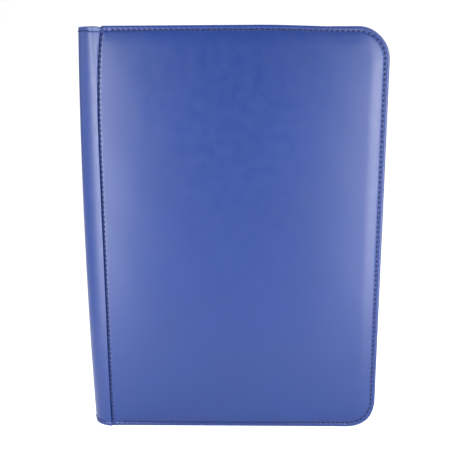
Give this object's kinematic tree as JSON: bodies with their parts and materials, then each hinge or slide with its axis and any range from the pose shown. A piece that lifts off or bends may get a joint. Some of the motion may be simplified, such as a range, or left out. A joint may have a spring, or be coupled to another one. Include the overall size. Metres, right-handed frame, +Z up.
{
  "type": "trading card binder",
  "caption": "Zip-around padded leatherette binder that stands closed, with hinged covers, a soft round spine and bound pocket pages for cards.",
  "frame": {"origin": "centre of the footprint, on the surface that the closed binder stands on", "axes": "+X from the spine towards the opening edge, +Y from the front cover towards the back cover, +Z up along the spine"},
  "size_m": [0.252, 0.036, 0.345],
  "materials": {
    "leather": "satin",
    "foam": "matte",
    "board": "matte",
    "lining": "matte",
    "tape": "matte",
    "teeth": "satin",
    "thread": "matte",
    "metal": "satin",
    "strip": "matte",
    "page": "satin"
  },
  "bodies": {
    "spine": {"spine_leather": "leather", "spine_foam": "foam", "spine_lining": "lining", "binding_strip": "strip", "zip_end_tab_top": "tape", "zip_end_tab_bottom": "tape"},
    "front_cover": {"front_leather": "leather", "front_foam": "foam", "front_board": "board", "front_lining": "lining", "front_zip_tape": "tape", "front_zip_teeth": "teeth", "front_edge_stitching": "thread", "front_seam_stitching": "thread", "front_zip_stop_top": "metal", "front_zip_stop_bottom": "metal"},
    "back_cover": {"back_leather": "leather", "back_foam": "foam", "back_board": "board", "back_lining": "lining", "back_zip_tape": "tape", "back_zip_teeth": "teeth", "back_edge_stitching": "thread", "back_seam_stitching": "thread", "back_zip_stop_top": "metal", "back_zip_stop_bottom": "metal"},
    "zip_slider": {"zip_slider": "metal"},
    "zip_pull": {"zip_pull": "metal"},
    "page_01": {"page_01": "page"},
    "page_02": {"page_02": "page"},
    "page_03": {"page_03": "page"},
    "page_04": {"page_04": "page"},
    "page_05": {"page_05": "page"},
    "page_06": {"page_06": "page"},
    "page_07": {"page_07": "page"},
    "page_08": {"page_08": "page"},
    "page_09": {"page_09": "page"},
    "page_10": {"page_10": "page"},
    "page_11": {"page_11": "page"},
    "page_12": {"page_12": "page"},
    "page_13": {"page_13": "page"},
    "page_14": {"page_14": "page"},
    "page_15": {"page_15": "page"},
    "page_16": {"page_16": "page"},
    "page_17": {"page_17": "page"},
    "page_18": {"page_18": "page"},
    "page_19": {"page_19": "page"},
    "page_20": {"page_20": "page"}
  },
  "joints": [
    {"name": "front_cover_hinge", "type": "hinge", "parent": "spine", "child": "front_cover", "pos_m": [-0.109, -0.016, 0.1725], "axis": [0, 0, -1], "range_deg": [0, 90]},
    {"name": "back_cover_hinge", "type": "hinge", "parent": "spine", "child": "back_cover", "pos_m": [-0.109, 0.016, 0.1725], "axis": [0, 0, 1], "range_deg": [0, 90]},
    {"name": "zip_slide", "type": "slide", "parent": "back_cover", "child": "zip_slider", "axis": [1, 0, 0], "range_m": [0, 0.19]},
    {"name": "zip_pull_pivot", "type": "hinge", "parent": "zip_slider", "child": "zip_pull", "pos_m": [-0.092, 0, 0.34185], "axis": [0, -1, 0], "range_deg": [0, 170]},
    {"name": "page_01_turn", "type": "hinge", "parent": "spine", "child": "page_01", "pos_m": [-0.1048, -0.0114, 0.1725], "axis": [0, 0, -1], "range_deg": [0, 90]},
    {"name": "page_02_turn", "type": "hinge", "parent": "spine", "child": "page_02", "pos_m": [-0.1048, -0.0102, 0.1725], "axis": [0, 0, -1], "range_deg": [0, 90]},
    {"name": "page_03_turn", "type": "hinge", "parent": "spine", "child": "page_03", "pos_m": [-0.1048, -0.009, 0.1725], "axis": [0, 0, -1], "range_deg": [0, 90]},
    {"name": "page_04_turn", "type": "hinge", "parent": "spine", "child": "page_04", "pos_m": [-0.1048, -0.0078, 0.1725], "axis": [0, 0, -1], "range_deg": [0, 90]},
    {"name": "page_05_turn", "type": "hinge", "parent": "spine", "child": "page_05", "pos_m": [-0.1048, -0.0066, 0.1725], "axis": [0, 0, -1], "range_deg": [0, 90]},
    {"name": "page_06_turn", "type": "hinge", "parent": "spine", "child": "page_06", "pos_m": [-0.1048, -0.0054, 0.1725], "axis": [0, 0, -1], "range_deg": [0, 90]},
    {"name": "page_07_turn", "type": "hinge", "parent": "spine", "child": "page_07", "pos_m": [-0.1048, -0.0042, 0.1725], "axis": [0, 0, -1], "range_deg": [0, 90]},
    {"name": "page_08_turn", "type": "hinge", "parent": "spine", "child": "page_08", "pos_m": [-0.1048, -0.003, 0.1725], "axis": [0, 0, -1], "range_deg": [0, 90]},
    {"name": "page_09_turn", "type": "hinge", "parent": "spine", "child": "page_09", "pos_m": [-0.1048, -0.0018, 0.1725], "axis": [0, 0, -1], "range_deg": [0, 90]},
    {"name": "page_10_turn", "type": "hinge", "parent": "spine", "child": "page_10", "pos_m": [-0.1048, -0.0006, 0.1725], "axis": [0, 0, -1], "range_deg": [0, 90]},
    {"name": "page_11_turn", "type": "hinge", "parent": "spine", "child": "page_11", "pos_m": [-0.1048, 0.0006, 0.1725], "axis": [0, 0, 1], "range_deg": [0, 90]},
    {"name": "page_12_turn", "type": "hinge", "parent": "spine", "child": "page_12", "pos_m": [-0.1048, 0.0018, 0.1725], "axis": [0, 0, 1], "range_deg": [0, 90]},
    {"name": "page_13_turn", "type": "hinge", "parent": "spine", "child": "page_13", "pos_m": [-0.1048, 0.003, 0.1725], "axis": [0, 0, 1], "range_deg": [0, 90]},
    {"name": "page_14_turn", "type": "hinge", "parent": "spine", "child": "page_14", "pos_m": [-0.1048, 0.0042, 0.1725], "axis": [0, 0, 1], "range_deg": [0, 90]},
    {"name": "page_15_turn", "type": "hinge", "parent": "spine", "child": "page_15", "pos_m": [-0.1048, 0.0054, 0.1725], "axis": [0, 0, 1], "range_deg": [0, 90]},
    {"name": "page_16_turn", "type": "hinge", "parent": "spine", "child": "page_16", "pos_m": [-0.1048, 0.0066, 0.1725], "axis": [0, 0, 1], "range_deg": [0, 90]},
    {"name": "page_17_turn", "type": "hinge", "parent": "spine", "child": "page_17", "pos_m": [-0.1048, 0.0078, 0.1725], "axis": [0, 0, 1], "range_deg": [0, 90]},
    {"name": "page_18_turn", "type": "hinge", "parent": "spine", "child": "page_18", "pos_m": [-0.1048, 0.009, 0.1725], "axis": [0, 0, 1], "range_deg": [0, 90]},
    {"name": "page_19_turn", "type": "hinge", "parent": "spine", "child": "page_19", "pos_m": [-0.1048, 0.0102, 0.1725], "axis": [0, 0, 1], "range_deg": [0, 90]},
    {"name": "page_20_turn", "type": "hinge", "parent": "spine", "child": "page_20", "pos_m": [-0.1048, 0.0114, 0.1725], "axis": [0, 0, 1], "range_deg": [0, 90]}
  ],
  "couplings": [
    {"joint": "page_01_turn", "follows": "front_cover_hinge", "ratio": 0.95},
    {"joint": "page_02_turn", "follows": "front_cover_hinge", "ratio": 0.85},
    {"joint": "page_03_turn", "follows": "front_cover_hinge", "ratio": 0.75},
    {"joint": "page_04_turn", "follows": "front_cover_hinge", "ratio": 0.65},
    {"joint": "page_05_turn", "follows": "front_cover_hinge", "ratio": 0.55},
    {"joint": "page_06_turn", "follows": "front_cover_hinge", "ratio": 0.45},
    {"joint": "page_07_turn", "follows": "front_cover_hinge", "ratio": 0.35},
    {"joint": "page_08_turn", "follows": "front_cover_hinge", "ratio": 0.25},
    {"joint": "page_09_turn", "follows": "front_cover_hinge", "ratio": 0.15},
    {"joint": "page_10_turn", "follows": "front_cover_hinge", "ratio": 0.05},
    {"joint": "page_11_turn", "follows": "back_cover_hinge", "ratio": 0.05},
    {"joint": "page_12_turn", "follows": "back_cover_hinge", "ratio": 0.15},
    {"joint": "page_13_turn", "follows": "back_cover_hinge", "ratio": 0.25},
    {"joint": "page_14_turn", "follows": "back_cover_hinge", "ratio": 0.35},
    {"joint": "page_15_turn", "follows": "back_cover_hinge", "ratio": 0.45},
    {"joint": "page_16_turn", "follows": "back_cover_hinge", "ratio": 0.55},
    {"joint": "page_17_turn", "follows": "back_cover_hinge", "ratio": 0.65},
    {"joint": "page_18_turn", "follows": "back_cover_hinge", "ratio": 0.75},
    {"joint": "page_19_turn", "follows": "back_cover_hinge", "ratio": 0.85},
    {"joint": "page_20_turn", "follows": "back_cover_hinge", "ratio": 0.95}
  ]
}
